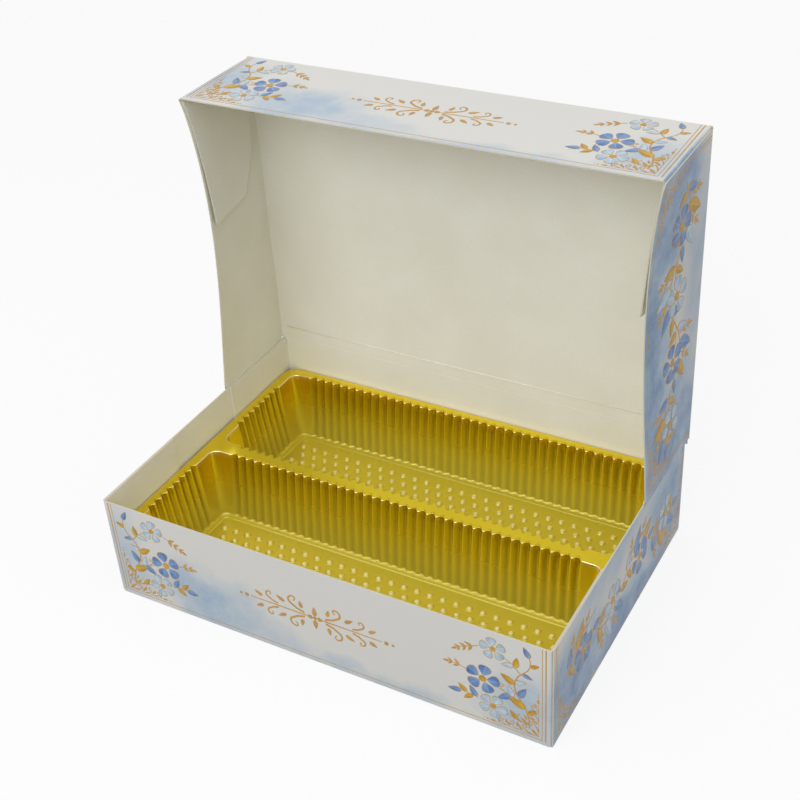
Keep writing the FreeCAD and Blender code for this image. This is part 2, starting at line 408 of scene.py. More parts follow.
def printed_board(panel):
    """Satin varnished boxboard: the printed side alone, for the bowed lid sides."""
    material, add, coordinates = new_material("satin varnished boxboard " + panel)
    position = coordinates["Object"]
    # Orange peel of the varnish, drawn 1.5 mm wide so that it shows
    peel = add("TexNoise", {"Vector": position, "Scale": 1 / (1.5 * MM), "Detail": 2.0})
    finish(add, printed_colour(add, position, panel), (0.38, 0.46), peel, 0.02 * MM)
    return material


def ivory_board():
    """Uncoated boxboard: matt ivory with visible fibre."""
    material, add, coordinates = new_material("uncoated ivory boxboard")
    colour, fibres = ivory_colour(add, coordinates["Object"])
    finish(add, colour, (0.76, 0.88), fibres, 0.03 * MM)
    return material


def cut_edge():
    """Die-cut board edge: raw cream pulp in fine layers."""
    cream = bpy.context.scene.sweet_box_carton.edge_cream
    darker = [value * 0.86 for value in cream]
    # Plies are about 0.1 mm; they are drawn 0.5 mm so that they show
    return patchy("die-cut board edge", 0.5 * MM, 2.0, darker, cream, (0.8, 0.95), 0.03 * MM)


def dried_glue():
    """Dried dispersion glue: milky, with a soft shine."""
    # The glue dries in streaks about 3 mm wide
    return patchy("dried dispersion glue", 3 * MM, 3.0, "#d9d3bd", "#efece0", (0.3, 0.5), 0.02 * MM)


def gold_ink():
    """Bronze-gold printing ink: a soft satin metal that lies unevenly."""
    # The ink lies thicker and thinner in patches about 4 mm wide
    return patchy("bronze gold ink", 4 * MM, 3.0, "#a97c34", "#d6ad60", (0.35, 0.55), 0.0, 0.4)


def gold_sheet():
    """Metallised plastic sheet, vacuum formed: a warm gold mirror, softened where it was drawn."""
    tray = bpy.context.scene.sweet_box_tray
    material, add, coordinates = new_material("metallised gold plastic sheet")
    position = coordinates["Object"]
    # Drawing thins the metal in patches about 12 mm wide
    drawn = add("TexNoise", {"Vector": position, "Scale": 1 / (12 * MM), "Detail": 3.0})
    deeper = [value * share for value, share in zip(tray.gold, (0.94, 0.92, 0.85))]
    even = add("Mix", {"Factor": drawn, "A": rgba(deeper), "B": rgba(tray.gold)}, data_type="RGBA")
    # Low in the wells the sheet is stretched thin, so the metal there is hazier and paler
    height = add("SeparateXYZ", {0: position}).outputs["Z"]
    stretch = add("MapRange", {"Value": height, "From Min": RIM_TOP - HAZE_START, "From Max": PANEL_TOP},
                  interpolation_type="SMOOTHSTEP")
    colour = add("Mix", {"Factor": stretch, "A": even, "B": rgba(tray.hazy_gold)}, data_type="RGBA")
    # Painted shade darkens the grooves between the flutes, and a painted pale glint lightens the bump crowns
    # and the lips between the flutes
    painted_shade_and_glint = add("Attribute", attribute_name=PAINTED_SHADE_AND_GLINT).outputs["Fac"]
    groove = add("MapRange", {"Value": painted_shade_and_glint, "To Min": 1.0, "To Max": 0.6})
    painted_groove_shade = add("VectorMath", {0: colour, "Scale": groove}, operation="SCALE")
    crown = add("MapRange", {"Value": painted_shade_and_glint, "From Max": -1.0})
    painted_glint_colour = add("Mix", {"Factor": crown, "A": painted_groove_shade, "B": rgba("#fff6cc")}, data_type="RGBA")
    roughness = add("MapRange", {"Value": stretch, "To Min": 0.2, "To Max": 0.4})
    metallic = add("MapRange", {"Value": stretch, "To Min": 0.92, "To Max": 0.52})
    # The clear film over the metal adds real white glints besides the painted ones
    shader = add("BsdfPrincipled", {"Base Color": painted_glint_colour, "Metallic": metallic, "Roughness": roughness,
                                    "Coat Weight": 0.4, "Coat Roughness": 0.08})
    add("OutputMaterial", {"Surface": shader})
    return material


def watercolour(name, deep, light):
    """Printed watercolour: each leaf runs from deep to light, with one darker half and a pale midrib."""
    material, add, coordinates = new_material(name + " watercolour ink")
    leaf = add("SeparateXYZ", {0: coordinates["UV"]}).outputs
    # Pigment pools in blots about 3 mm wide
    pool = add("TexNoise", {"Vector": coordinates["Object"], "Scale": 1 / (3 * MM), "Detail": 3.0})
    total = add("MapRange", {"Value": pool, "From Min": 0.3, "From Max": 0.7, "To Max": 0.4})
    lit_half = add("MapRange", {"Value": leaf["Y"], "From Min": 0.47, "From Max": 0.53, "To Max": 0.22},
                   interpolation_type="SMOOTHSTEP")
    tip = add("MapRange", {"Value": leaf["X"], "To Min": 0.32, "To Max": 0.0})
    midrib = add("Math", {0: leaf["Y"], 1: 0.5, 2: 0.035}, operation="COMPARE")
    rib = add("Math", {0: midrib, 1: 0.4}, operation="MULTIPLY")
    for part in (lit_half, tip, rib):
        total = add("Math", {0: total, 1: part}, operation="ADD", use_clamp=True)
    colour = add("Mix", {"Factor": total, "A": rgba(deep), "B": rgba(light)}, data_type="RGBA")
    finish(add, colour, (0.38, 0.5), pool, 0.01 * MM)
    return material


# Carton board

class SWEETBOX_OT_board(bpy.types.Operator):
    """Dress the flat panels, folds, tabs and glue lines of the carton"""
    bl_idname = "sweet_box.board"
    bl_label = "Carton board"

    def execute(self, context):
        for panel, nodes in BOARD_NODES.items():
            for node, outward in nodes.items():
                self.dress(node, folded_board(node, panel, outward))
        self.dress("base_floor", folded_board("underside", None, (0, 0, -1)))
        glue = dried_glue()
        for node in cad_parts:
            if node.startswith("base_glue"):
                self.dress(node, glue)
        return {"FINISHED"}

    def dress(self, node, material):
        """Gives a frame node its material."""
        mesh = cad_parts[node].data
        mesh.materials.clear()
        mesh.materials.append(material)


# Lid sides

BOW_PEAK = 0.75
BOW_SWELL = 1.25
BEND_STEP = 4 * MM
BEND_TURNS = 8
FLAT_SHARE = 0.001
TAB_SLOPE_SHARE = 0.16
TAB_END_SHARE = 0.41
TAB_FOOT_SHARE = 0.29
TAB_LIFT = 2.0 * MM
SIDE_FOOT_FRONT = 1.2 * MM
SIDE_FOOT_DEEP = 1.9 * MM
SIDE_FOOT_BACK = 1.3 * MM
FOOT_LEAN = 0.9 * MM
FOOT_LEAN_START = 0.1
FOOT_LEAN_SHARP = 4
CORNER_BLUNT = 0.75
GUSSET_LENGTH = 4.0 * MM
GUSSET_HEIGHT = 2.0 * MM
GUSSET_THICKNESS = 0.55 * MM
GUSSET_RISE = 0.2 * MM
GUSSET_BLUNT = 0.15
SCORE_RADIUS = 0.35 * MM
SCORE_RISE = 7.0 * MM
SCORE_END = 1.4 * MM
SCORE_SIDES = 16


def bow(point, depth):
    """How far the open lid's side leans in at a point: most near its tab's end, none along its fold."""
    down = (LID_SIDE[1].z - point.z) / (LID_SIDE[1].z - LID_SIDE[0].z)
    out = (LID_SIDE[1].y - point.y) / (LID_SIDE[1].y - LID_SIDE[0].y)
    down = min(1.0, max(0.0, down))
    out = min(1.0, max(0.0, out))
    lean = FOOT_LEAN * down ** FOOT_LEAN_SHARP * min(1.0, out / FOOT_LEAN_START)
    return depth * math.sin(math.pi * down ** BOW_PEAK) * out ** BOW_SWELL + lean


def bend_sheet(bm, way, depth):
    """Cuts a flat lid side sheet finely along both its ways and bows it inwards."""
    for direction in (Vector((0, 0, 1)), Vector((0, 1, 0))):
        low, high = [corner.dot(direction) for corner in LID_SIDE]
        count = math.ceil((high - low) / BEND_STEP)
        for number in range(1, count):
            place = direction * (low + (high - low) * number / count)
            geometry = bm.verts[:] + bm.edges[:] + bm.faces[:]
            bmesh.ops.bisect_plane(bm, geom=geometry, plane_co=place, plane_no=direction)
    for vertex in bm.verts:
        vertex.co.x -= way * bow(vertex.co, depth)


def sheet_from_outline(outline, plane, way):
    """A flat sheet with this outline in y and z, facing out at the plane on one side of the box."""
    bm = bmesh.new()
    corners = [bm.verts.new((way * plane, y, z)) for y, z in outline]
    face = bmesh.ops.contextual_create(bm, geom=corners)["faces"][0]
    face.normal_update()
    if face.normal.x * way < 0:
        bmesh.ops.reverse_faces(bm, faces=[face])
    return bm


def tab_outline(low, high):
    """The lid tab's outline: square at the flange, sloped along the fold and cut at its end."""
    _, width, height = high - low
    return [(high.y, high.z), (high.y - width * TAB_SLOPE_SHARE, low.z + height * TAB_FOOT_SHARE),
            (high.y - width * TAB_END_SHARE, low.z), (low.y, low.z), (low.y, high.z)]


def make_corner(name, body, low, high, way, panel, outward, blunt_share=CORNER_BLUNT):
    """A blunt corner of board where creases meet, from its lowest to its highest point on the right."""
    bm = bmesh.new()
    block = bmesh.ops.create_cube(bm, size=1.0)["verts"]
    bmesh.ops.scale(bm, vec=high - low, verts=block)
    bmesh.ops.translate(bm, vec=(low + high) / 2, verts=block)
    tip = max(block, key=lambda vertex: vertex.co.x + vertex.co.y + vertex.co.z)
    blunt = min(high - low) * blunt_share
    bmesh.ops.bevel(bm, geom=[tip, *tip.link_edges], offset=blunt, offset_type="OFFSET", affect="EDGES",
                    segments=3, profile=0.5, material=-1)
    bmesh.ops.scale(bm, vec=(way, 1, 1), verts=bm.verts[:])
    bmesh.ops.recalc_face_normals(bm, faces=bm.faces[:])
    make_piece(bm, name, body, "printed_board", (folded_board(name, panel, outward),))


class SWEETBOX_OT_lid_sides(bpy.types.Operator):
    """Make the lid's bowed sides with the tabs and glue lines inside them"""
    bl_idname = "sweet_box.lid_sides"
    bl_label = "Lid sides"

    def execute(self, context):
        carton = context.scene.sweet_box_carton
        ivory = ivory_board()
        edge = cut_edge()
        glue = dried_glue()
        side_plane = (LID_SIDE[0].x + LID_SIDE[1].x) / 2
        tab_plane = LID_TAB[1].x - BOARD / 2
        glue_plane = (LID_GLUE[0].x + LID_GLUE[1].x) / 2
        _, front, low_z = LID_SIDE[0]
        _, inner_back, bend_z = LID_SIDE[1]
        back = LID_FOLD[1].y
        # The sides reach a little below the hinge, so that no light shows between them and the base
        side_outline = [(front, low_z - SIDE_FOOT_FRONT), (back - GUSSET_LENGTH, low_z - SIDE_FOOT_DEEP),
                        (back, low_z - SIDE_FOOT_BACK), (back, low_z), (inner_back, low_z),
                        (inner_back, bend_z), (front, bend_z)]
        tab_sheet = tab_outline(LID_TAB[0], Vector((0, LID_TAB[1].y, bend_z)))
        glue_sheet = tab_outline(*LID_GLUE)
        glue_film = LID_GLUE[1].x - LID_GLUE[0].x
        for side, way, depth in (("left", -1, carton.bow_left), ("right", 1, carton.bow_right)):
            printed = printed_board("lid_" + side)
            sheets = (
                ("lid_{}_side", side_outline, side_plane, BOARD, "printed_board", (printed, ivory, edge)),
                ("lid_tab_{}", tab_sheet, tab_plane, BOARD, "inner_board", (ivory, ivory, edge)),
                ("lid_glue_{}", glue_sheet, glue_plane, glue_film, "glue_line", (glue, glue, glue)))
            for label, outline, plane, thickness, slot, materials in sheets:
                bm = sheet_from_outline(outline, plane, way)
                bend_sheet(bm, way, depth)
                if slot == "inner_board":
                    self.lift_tab(bm, way, bend_z)
                piece = make_piece(bm, label.format(side) + "_sheet", "lid", slot, materials)
                thicken(piece, thickness, 0.0, 1, 2)
                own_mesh(piece)
                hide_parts(label.format(side))
            self.make_bend(side, way, tab_plane, bend_z, (printed, ivory, edge))
            self.close_corners(side, way)
        self.make_score(ivory)
        return {"FINISHED"}

    def lift_tab(self, bm, way, bend_z):
        """Lets the glued tab's cut end stand a little off the side, where the glue stops short of it."""
        for vertex in bm.verts:
            share = (bend_z - vertex.co.z) / (bend_z - LID_TAB[0].z)
            vertex.co.x -= way * TAB_LIFT * share ** 2

    def make_bend(self, side, way, plane, bend_z, materials):
        """The quarter-round crease from the flange into the tab."""
        radius = LID_FLANGE[1].z - BOARD / 2 - bend_z
        bm = bmesh.new()
        ends = [bm.verts.new((way * plane, y, bend_z)) for y in (LID_FLANGE[0].y, LID_FOLD[0].y)]
        line = bm.edges.new(ends)
        centre = (way * (plane - radius), 0, bend_z)
        bmesh.ops.spin(bm, geom=[*ends, line], cent=centre, axis=(0, -way, 0), angle=math.pi / 2,
                       steps=BEND_TURNS)
        bmesh.ops.recalc_face_normals(bm, faces=bm.faces[:])
        if bm.faces[:][0].normal.x * way < 0:
            bmesh.ops.reverse_faces(bm, faces=bm.faces[:])
        piece = make_piece(bm, "lid_tab_" + side + "_bend", "lid", "printed_board", materials)
        thicken(piece, BOARD, 0.0, 1, 2)

    def close_corners(self, side, way):
        """Fills the lid's top corner and the corner and the gap beside the hinge."""
        low = Vector((LID_FOLD[1].x, LID_FOLD[0].y, LID_FOLD[0].z))
        high = Vector((LID_X, LID_FOLD[1].y, LID_FOLD[1].z))
        make_corner("lid_corner_" + side, "lid", low, high, way, "lid_top", (way, 1, 1))
        low = Vector((CREASE[1].x, CREASE[0].y, CREASE[0].z))
        high = Vector((LID_TAB[1].x, CREASE[1].y, CREASE[1].z))
        make_corner("hinge_corner_" + side, "base", low, high, way, "base_back", (0, 1, 0), GUSSET_BLUNT)
        # A gusset beside the base wall's top, low enough for the closed lid to pass over
        top = BASE_RIGHT[1].z + GUSSET_RISE
        low = Vector((BASE_X, CREASE[1].y - GUSSET_LENGTH, top - GUSSET_HEIGHT))
        high = Vector((BASE_X + GUSSET_THICKNESS, CREASE[0].y, top))
        make_corner("hinge_gusset_" + side, "base", low, high, way, "base_" + side, (way, 0, 0), GUSSET_BLUNT)

    def make_score(self, ivory):
        """The raised bead of a second score line across the lid, sunk half into the board above the hinge."""
        bm = bmesh.new()
        place = Matrix.Translation((0, LID_TOP[0].y, CREASE[1].z + SCORE_RISE))
        lying = place @ Matrix.Rotation(math.pi / 2, 4, "Y")
        bmesh.ops.create_cone(bm, cap_ends=True, segments=SCORE_SIDES, radius1=SCORE_RADIUS,
                              radius2=SCORE_RADIUS, depth=2 * (CREASE[1].x - SCORE_END), matrix=lying)
        make_piece(bm, "lid_score_bead", "lid", "inner_board", (ivory,))


# Tray

# Vertex attribute of painted light on the gold sheet: above zero it is painted shade in the flutes' grooves,
# below zero a painted pale glint on the bump crowns and on the lips between the flutes
PAINTED_SHADE_AND_GLINT = "painted_shade_and_glint"
LIP_GLINT = 0.7
LIP_FLAT = 0.4 * MM
LIP_TURNS = (0, 22.5, 45, 67.5, 90)
SAMPLES_PER_FLUTE = 8
CORNER_STEPS = 6
MOUTH_RADIUS = 5.0 * MM
FLOOR_RADIUS = 4.0 * MM
FLOOR_FILLET = 1.8 * MM
NOTCH_SHARE = 1.45
BORDER_WIDTH = 0.6 * MM
STEP_HEIGHT = 0.4 * MM
STEP_RUN = 0.5 * MM
BUMP_FOOT = 0.35 * MM
BUMP_SIDES = 8
PANEL_RADIUS = 2.0 * MM
PANEL_MARGIN = 1.0 * MM
RIM_RADIUS = 8.0 * MM
RIM_ROLL = 1.0 * MM
RIM_SKIRT = 2.5 * MM
RIM_TURNS = (30, 60, 90)
SHEET = TRAY_RIM[1].z - TRAY_RIM[0].z
RIM_TOP = TRAY_RIM[1].z
PANEL_TOP = FLOOR_TOP + SHEET
WELL_HALF = (BACK_WELL[1].x - SHEET, (BACK_WELL[1].y - BACK_WELL[0].y) / 2 - SHEET)
WELL_MIDDLE = (BACK_WELL[1].y + BACK_WELL[0].y) / 2
WELL_STRAIGHT = [half - MOUTH_RADIUS for half in WELL_HALF]
WELL_DRAFT = 4.5 * MM
WALL_SHARES = (0.06, 0.14, 0.3, 0.5, 0.75, 1.0)
WALL_TIGHTEN = 0.4 * MM
WALL_FADE = 0.4
FLUTE_SHARP = 0.85
PLAIN_END = 1.0 * MM
HAZE_START = 4.0 * MM
# Turn of the floor's fillet in degrees, and the flutes' share there
FILLET_TURNS = ((18, 0.5), (36, 0.36), (54, 0.2), (72, 0.08), (90, 0.0))
# Each band of a bump above its foot: rise as a share of its height, width as a share of the last, and painted
# glint, below zero where the crown is painted pale
BUMP_BANDS = ((0.62, 0.82, 0.0), (0.3, 0.62, -0.6), (0.08, 0.45, -1.0))


def rounded_ring(bm, halves, radius, cuts):
    """A wire ring on z 0: a rectangle with round corners, cut finely along its straight runs."""
    corners = bmesh.ops.create_grid(bm, x_segments=1, y_segments=1, size=1.0)["verts"]
    bmesh.ops.scale(bm, vec=(*halves, 1), verts=corners)
    bmesh.ops.bevel(bm, geom=corners, offset=radius, offset_type="OFFSET", affect="VERTICES",
                    segments=CORNER_STEPS, profile=0.5, material=-1)
    bmesh.ops.delete(bm, geom=bm.faces[:], context="FACES_ONLY")
    for edge in bm.edges[:]:
        way = edge.verts[0].co - edge.verts[1].co
        for run in (0, 1):
            if abs(way[1 - run]) < radius * FLAT_SHARE and abs(way[run]) > radius:
                bmesh.ops.subdivide_edges(bm, edges=[edge], cuts=cuts[run])


def well_ring(bm):
    """A well's ring, cut so finely along its runs that each flute gets its curve."""
    step = bpy.context.scene.sweet_box_tray.flute_pitch / SAMPLES_PER_FLUTE
    rounded_ring(bm, WELL_HALF, MOUTH_RADIUS, [round(2 * straight / step) for straight in WELL_STRAIGHT])


def extrude_levels(bm, count):
    """Draws a wire ring down into a tube with this many bands, one unit of z each."""
    ring = bm.edges[:]
    for _ in range(count):
        drawn = bmesh.ops.extrude_edge_only(bm, edges=ring)["geom"]
        fresh = [item for item in drawn if isinstance(item, bmesh.types.BMVert)]
        bmesh.ops.translate(bm, vec=(0, 0, -1), verts=fresh)
        level = min(vertex.co.z for vertex in fresh) + 0.5
        ring = [item for item in drawn if isinstance(item, bmesh.types.BMEdge)
                and all(vertex.co.z < level for vertex in item.verts)]
    return ring


def well_levels():
    """The levels of a well's wall from mouth to floor: inset, height, corner radius and flute share."""
    lip = bpy.context.scene.sweet_box_tray.lip_radius
    border_top = PANEL_TOP + STEP_HEIGHT
    foot = border_top + FLOOR_FILLET
    slope = WELL_DRAFT / (RIM_TOP - PANEL_TOP)
    levels = [(-lip - LIP_FLAT, RIM_TOP, MOUTH_RADIUS + lip, NOTCH_SHARE)]
    for turn in LIP_TURNS:
        angle = math.radians(turn)
        levels.append((lip * (math.sin(angle) - 1), RIM_TOP - lip * (1 - math.cos(angle)),
                       MOUTH_RADIUS, NOTCH_SHARE))
    for share in WALL_SHARES:
        height = RIM_TOP - lip + (foot - RIM_TOP + lip) * share
        radius = MOUTH_RADIUS - share * WALL_TIGHTEN
        levels.append((slope * (RIM_TOP - lip - height), height, radius, 1.0 - WALL_FADE * share))
    wall_inset = levels[-1][0]
    for turn, flute_share in FILLET_TURNS:
        angle = math.radians(turn)
        levels.append((wall_inset + FLOOR_FILLET * (1 - math.cos(angle)),
                       border_top + FLOOR_FILLET * (1 - math.sin(angle)), FLOOR_RADIUS, flute_share))
    inset = wall_inset + FLOOR_FILLET + BORDER_WIDTH
    levels.append((inset, border_top, PANEL_RADIUS + STEP_RUN, 0.0))
    for run, height in ((STEP_RUN / 2, border_top - STEP_HEIGHT / 3), (STEP_RUN, PANEL_TOP),
                        (STEP_RUN + PANEL_MARGIN / 2, PANEL_TOP)):
        levels.append((inset + run, height, PANEL_RADIUS, 0.0))
    return levels


def flute(place, count, pitch):
    """Depth share of the flutes at a place along a wall, and none past the last one."""
    if abs(place) > count * pitch / 2:
        return 0.0
    start = 0.0 if count % 2 else 0.5
    return (0.5 + 0.5 * math.cos(2 * math.pi * (place / pitch - start))) ** FLUTE_SHARP


def slide(place, zone, straight, new_straight):
    """Moves a point along a wall as the wall shortens: flutes stay upright and the plain ends give way."""
    new_zone = min(zone, new_straight - PLAIN_END)
    if abs(place) <= zone:
        return place * new_zone / zone
    spare = (abs(place) - zone) / max(straight - zone, FLAT_SHARE * MM)
    return math.copysign(new_zone + spare * (new_straight - new_zone), place)


def place_on_level(vertex, level):
    """Moves a vertex of the plain tube to its level of the well; gives back its share of a groove."""
    tray = bpy.context.scene.sweet_box_tray
    inset, height, radius, flute_share = level
    old = vertex.co.copy()
    new = [half - inset - radius for half in WELL_HALF]
    past = [abs(old[run]) - WELL_STRAIGHT[run] for run in (0, 1)]
    groove = 0.0
    if min(past) > FLAT_SHARE * MM:
        way = Vector(past).normalized()
        for run in (0, 1):
            vertex.co[run] = math.copysign(new[run] + radius * way[run], old[run])
    else:
        run = 0 if past[0] <= FLAT_SHARE * MM else 1
        count = (tray.flutes_long, tray.flutes_short)[run]
        zone = count * tray.flute_pitch / 2
        groove = flute(old[run], count, tray.flute_pitch)
        depth = tray.flute_depth * flute_share * groove
        vertex.co[run] = slide(old[run], zone, WELL_STRAIGHT[run], new[run])
        vertex.co[1 - run] = math.copysign(new[1 - run] + radius + depth, old[1 - run])
    vertex.co.z = height
    return groove


def fluted_well(levels):
    """A fluted well round its own middle, with a bumped floor."""
    bm = bmesh.new()
    well_ring(bm)
    last_ring = extrude_levels(bm, len(levels) - 1)
    painted_shade_and_glint = bm.verts.layers.float.new(PAINTED_SHADE_AND_GLINT)
    for vertex in bm.verts:
        level = levels[round(-vertex.co.z)]
        groove = place_on_level(vertex, level)
        # Grooves get painted shade, and the lip between the flutes gets a painted pale glint
        lip = level[3] == NOTCH_SHARE and level[1] < RIM_TOP
        vertex[painted_shade_and_glint] = groove * min(1.0, level[3]) - (LIP_GLINT * (1 - groove) if lip else 0.0)
    floor_edges = bumped_floor(bm, levels[-1][0] + PANEL_MARGIN)
    bmesh.ops.triangle_fill(bm, use_beauty=True, edges=last_ring + floor_edges)
    return bm


def bumped_floor(bm, inset):
    """Adds the floor's panel of staggered round bumps; gives back its outer edges."""
    tray = bpy.context.scene.sweet_box_tray
    half_x, half_y = [half - inset for half in WELL_HALF]
    columns = 4 * round(half_x / tray.bump_pitch)
    rows = 2 * round(half_y / tray.row_pitch)
    old_faces = set(bm.faces)
    grid = bmesh.ops.create_grid(bm, x_segments=columns, y_segments=rows, size=1.0)["verts"]
    bmesh.ops.scale(bm, vec=(half_x, half_y, 1), verts=grid)
    bmesh.ops.translate(bm, vec=(0, 0, PANEL_TOP), verts=grid)
    fresh = [face for face in bm.faces if face not in old_faces]
    outer = [edge for face in fresh for edge in face.edges if edge.is_boundary]
    crowns = []
    for vertex in grid:
        column = round((vertex.co.x / half_x + 1) * columns / 2)
        row = round((vertex.co.y / half_y + 1) * rows / 2)
        if 0 < column < columns and 0 < row < rows and (column + row) % 2 == 0:
            crowns.append(vertex)
    count = len(crowns)
    bmesh.ops.poke(bm, faces=fresh)
    foot = tray.bump_radius + BUMP_FOOT
    bmesh.ops.bevel(bm, geom=crowns, offset=foot, offset_type="OFFSET", affect="VERTICES",
                    segments=1, profile=0.5, material=-1)
    caps = [face for face in bm.faces if len(face.verts) == BUMP_SIDES]
    if len(caps) != count:
        raise RuntimeError("the floor has %d bumps, not %d" % (len(caps), count))
    raise_bumps(bm, caps, foot)
    return outer


def raise_bumps(bm, caps, radius):
    """Rounds the eight-sided faces of the floor, draws them up into domes with a flat foot, and marks a
    painted pale glint on their crowns.
    """
    tray = bpy.context.scene.sweet_box_tray
    eighth = 2 * math.pi / BUMP_SIDES
    for cap in caps:
        cap.normal_update()
        centre = cap.calc_center_median()
        start = math.atan2(cap.verts[0].co.y - centre.y, cap.verts[0].co.x - centre.x)
        start = round(start / eighth) * eighth
        way = 1 if cap.normal.z > 0 else -1
        for number, vertex in enumerate(cap.verts):
            angle = start + way * number * eighth
            vertex.co.x = centre.x + radius * math.cos(angle)
            vertex.co.y = centre.y + radius * math.sin(angle)
    painted_shade_and_glint = bm.verts.layers.float[PAINTED_SHADE_AND_GLINT]
    # The upper bands of each bump carry a painted pale glint on its crown
    for rise, share, crown in ((0.0, tray.bump_radius / radius, 0.0), *BUMP_BANDS):
        caps = bmesh.ops.extrude_discrete_faces(bm, faces=caps)["faces"]
        tops = [vertex for cap in caps for vertex in cap.verts]
        bmesh.ops.translate(bm, vec=(0, 0, tray.bump_height * rise), verts=tops)
        for cap in caps:
            centre = cap.calc_center_median()
            for vertex in cap.verts:
                vertex.co = centre + (vertex.co - centre) * share
                vertex[painted_shade_and_glint] = crown


def tray_rim(levels):
    """The flat rim with its rolled outer edge, its ridge and the scalloped mouths of both wells."""
    bm = bmesh.new()
    half_x, half_y, _ = TRAY_RIM[1]
    rounded_ring(bm, (half_x, half_y), RIM_RADIUS, (1, 1))
    roll = [(RIM_ROLL, RIM_TOP)]
    for turn in RIM_TURNS:
        angle = math.radians(turn)
        roll.append((RIM_ROLL * (1 - math.sin(angle)), RIM_TOP - RIM_ROLL * (1 - math.cos(angle))))
    roll.append((0.0, RIM_TOP - RIM_SKIRT))
    inner_ring = bm.edges[:]
    extrude_levels(bm, len(roll) - 1)
    for vertex in bm.verts:
        inset, height = roll[round(-vertex.co.z)]
        vertex.co.x *= (half_x - inset) / half_x
        vertex.co.y *= (half_y - inset) / half_y
        vertex.co.z = height
    mouths = []
    for way in (-1, 1):
        ring = bmesh.new()
        well_ring(ring)
        for vertex in ring.verts:
            place_on_level(vertex, levels[0])
        bmesh.ops.translate(ring, vec=(0, way * WELL_MIDDLE, 0), verts=ring.verts[:])
        before = set(bm.edges)
        add_bmesh(bm, ring)
        mouths += [edge for edge in bm.edges if edge not in before]
    bmesh.ops.triangle_fill(bm, use_beauty=True, edges=inner_ring + mouths)
    face_up(bm)
    return bm


class SWEETBOX_OT_tray(bpy.types.Operator):
    """Make the gold tray: its rim and two fluted wells with bumped floors"""
    bl_idname = "sweet_box.tray"
    bl_label = "Gold tray"

    def execute(self, context):
        levels = well_levels()
        gold = gold_sheet()
        pieces = {"tray_rim": tray_rim(levels)}
        for place, way in (("front", -1), ("back", 1)):
            bm = fluted_well(levels)
            bmesh.ops.translate(bm, vec=(0, way * WELL_MIDDLE, 0), verts=bm.verts[:])
            face_up(bm)
            pieces["tray_" + place + "_well"] = bm
        for node, bm in pieces.items():
            piece = make_piece(bm, node + "_sheet", "tray", "gold_tray", (gold,))
            thicken(piece, SHEET, -1.0)
            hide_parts(node)
        return {"FINISHED"}


# Print

INK_FILM = 0.12 * MM
INK_RISES = {"line": 0.045 * MM, "leaf": 0.09 * MM, "colour": 0.135 * MM}
FILM_SPREAD = 0.06
FILM_HOP = 0.6180339887
# Film shares of prints that lie under others
UNDER = 0.86
HAIR_UNDER = 0.975
# Degrees between the points of an arc
ARC_STEP = 20
LEAF_SIDES = 12
LEAF_SWELL = 1.3
LEAF_SHAPE = 0.5
OUTLINE = 0.3
# Farther than the end of any line
LINE_END = 1000
BLUE, OCHRE, PALE = 0, 1, 2
PETALS = 5
# A petal and the heart of a blossom, as shares of its radius
PETAL_FOOT = 0.24
PETAL_LENGTH = 0.76
PETAL_WIDTH = 0.78
HEART = 0.22
# Curls: length in millimetres and turn in degrees of each run
TENDRIL = ((5, 60), (3.6, 140), (2.2, 170))
SCROLL = ((6.5, 34), (4.6, 130), (3.2, 180))
SMALL_SCROLL = ((5.0, 34), (3.4, 130), (2.2, 180))
SPRIG_STEP = 3.4
SPRIG_TIP = 1.5
SPRIG_SPREAD = 42
STEM_CLEAR = 0.6
# The border's lines: inset and width in millimetres
BORDER_LINES = {"outer": (3.2, 0.6), "inner": (4.9, 0.35)}
FOOT_INSET = 3.2
HEAD_INSET = 0.6
# Corner filigree: insets across and up in millimetres, and size
TOP_LACE = (6.0, 6.0, 1.0)
WALL_LACE = (6.0, 4.2, 0.75)
RUN_INSET = 35
RUN_RISE = 0.02
MOTIF_SIZE = 1.3


class Design:
    """A flat ornament in millimetres, with a mesh each for gold lines, gold leaves and coloured shapes."""

    def __init__(self):
        self.layers = {layer: bmesh.new() for layer in INK_RISES}
        self.count = 0

    def add(self, layer, bm):
        """Adds a shape with a film of its own thickness, so that shapes that cross never share a plane."""
        self.count += 1
        face_up(bm)
        film = bm.verts.layers.deform.verify()
        for vertex in bm.verts:
            vertex[film][0] = 1.0 - self.count * FILM_HOP % 1 * FILM_SPREAD
        add_bmesh(self.layers[layer], bm)

    def stamp(self, design, matrix, film_share=1.0):
        """Adds a copy of another design; a mirrored copy is turned face up again."""
        for layer, shapes in design.layers.items():
            bm = shapes.copy()
            bmesh.ops.transform(bm, matrix=matrix, verts=bm.verts[:])
            if matrix.determinant() < 0:
                bmesh.ops.reverse_faces(bm, faces=bm.faces[:])
            film = bm.verts.layers.deform.verify()
            for vertex in bm.verts:
                vertex[film][0] *= film_share
            add_bmesh(self.layers[layer], bm)


def at(x, y, turn=0, size=1.0, mirror=False):
    """Where a copy of a design goes: place, turn in degrees, size and mirroring left to right."""
    flip = Matrix.Diagonal((-size if mirror else size, size, 1, 1))
    return Matrix.Translation((x, y, 0)) @ Matrix.Rotation(math.radians(turn), 4, "Z") @ flip


def toward(heading):
    """One millimetre along a heading in degrees."""
    angle = math.radians(heading)
    return Vector((math.cos(angle), math.sin(angle), 0))


def along(start, heading, runs, distance):
    """The point and heading at a distance along a line of arcs, each run a length and a turn in degrees."""
    point = Vector((*start, 0))
    for length, turn in runs:
        share = min(1.0, distance / length)
        swing = math.radians(turn * share)
        chord = length * share * (math.sin(swing / 2) / (swing / 2) if swing else 1.0)
        point += toward(heading + turn * share / 2) * chord
        heading += turn * share
        distance -= length * share
        if share < 1.0:
            break
    return point.xy, heading


